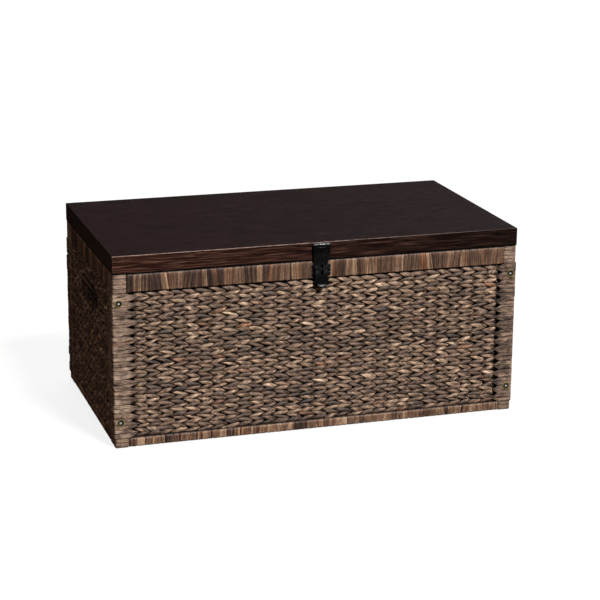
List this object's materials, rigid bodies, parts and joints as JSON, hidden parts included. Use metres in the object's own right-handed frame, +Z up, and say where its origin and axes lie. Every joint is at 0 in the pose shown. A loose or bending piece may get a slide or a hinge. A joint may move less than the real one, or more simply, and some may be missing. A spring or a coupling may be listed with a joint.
{
  "type": "wicker storage trunk",
  "caption": "Rectangular twined wicker storage trunk with wrapped frames, hand slots in both ends, a dark veneered hinged lid and an iron hasp.",
  "frame": {"origin": "on the floor, at the middle of the overall box's base", "axes": "+X to the right seen from the front, +Y to the back, +Z up"},
  "size_m": [0.9588, 0.5461, 0.4445],
  "materials": {
    "wrapped_frame": "wooden frame members wrapped in flattened water hyacinth",
    "weave": "twined water hyacinth strands, stained brown grey",
    "reed": "natural rattan reed",
    "plain_wood": "unfinished softwood and plywood",
    "lid_veneer": "espresso stained veneer, satin lacquer",
    "lid_edge": "red brown stained wood, open grain, satin",
    "iron": "blackened iron, lightly worn edges",
    "steel": "zinc plated steel",
    "brass": "bright brass",
    "felt": "dark felt"
  },
  "bodies": {
    "trunk": {"front_top_rail": "wrapped_frame", "front_bottom_rail": "wrapped_frame", "front_left_post": "wrapped_frame", "front_right_post": "wrapped_frame", "front_weave": "weave", "front_stakes": "reed", "back_top_rail": "wrapped_frame", "back_bottom_rail": "wrapped_frame", "back_left_post": "wrapped_frame", "back_right_post": "wrapped_frame", "back_weave": "weave", "back_stakes": "reed", "left_top_rail": "wrapped_frame", "left_bottom_rail": "wrapped_frame", "left_front_post": "wrapped_frame", "left_rear_post": "wrapped_frame", "left_weave": "weave", "left_stakes": "reed", "left_slot_rods": "reed", "right_top_rail": "wrapped_frame", "right_bottom_rail": "wrapped_frame", "right_front_post": "wrapped_frame", "right_rear_post": "wrapped_frame", "right_weave": "weave", "right_stakes": "reed", "right_slot_rods": "reed", "frame_dowels": "plain_wood", "base_panel": "plain_wood", "base_cleats": "plain_wood", "base_screws": "steel", "corner_bolts": "iron", "bolt_ferrules": "brass", "insert_nuts": "brass", "hinge_case_leaves": "iron", "hinge_pins": "iron", "case_screws": "iron", "staple_plate": "iron", "hasp_staple": "iron", "stay_case_brackets": "steel"},
    "lid": {"lid_veneer": "lid_veneer", "lid_top_board": "plain_wood", "lid_front_edge": "lid_edge", "lid_back_edge": "lid_edge", "lid_left_edge": "lid_edge", "lid_right_edge": "lid_edge", "lid_battens": "plain_wood", "lid_underside": "lid_veneer", "lid_bumpers": "felt", "hinge_lid_leaves": "iron", "hasp_leaf": "iron", "hasp_pin": "iron", "lid_screws": "iron", "stay_lid_brackets": "steel", "stay_rivets": "steel"},
    "hasp": {"hasp_strap": "iron"},
    "stay_left": {"left_stay_arm": "steel"},
    "stay_right": {"right_stay_arm": "steel"}
  },
  "joints": [
    {"name": "lid_hinge", "type": "hinge", "parent": "trunk", "child": "lid", "pos_m": [0, 0.269, 0.40275], "axis": [-1, 0, 0], "range_deg": [0, 98]},
    {"name": "hasp_hinge", "type": "hinge", "parent": "lid", "child": "hasp", "pos_m": [0, -0.269, 0.439], "axis": [-1, 0, 0], "range_deg": [0, 180]},
    {"name": "left_stay_pivot", "type": "hinge", "parent": "lid", "child": "stay_left", "pos_m": [-0.44982, 0.11909, 0.39752], "axis": [-1, 0, 0], "range_deg": [-50, 0]},
    {"name": "right_stay_pivot", "type": "hinge", "parent": "lid", "child": "stay_right", "pos_m": [0.44982, 0.11909, 0.39752], "axis": [-1, 0, 0], "range_deg": [-50, 0]}
  ],
  "couplings": [
    {"joint": "left_stay_pivot", "follows": "lid_hinge", "ratio": -0.5},
    {"joint": "right_stay_pivot", "follows": "lid_hinge", "ratio": -0.5}
  ]
}
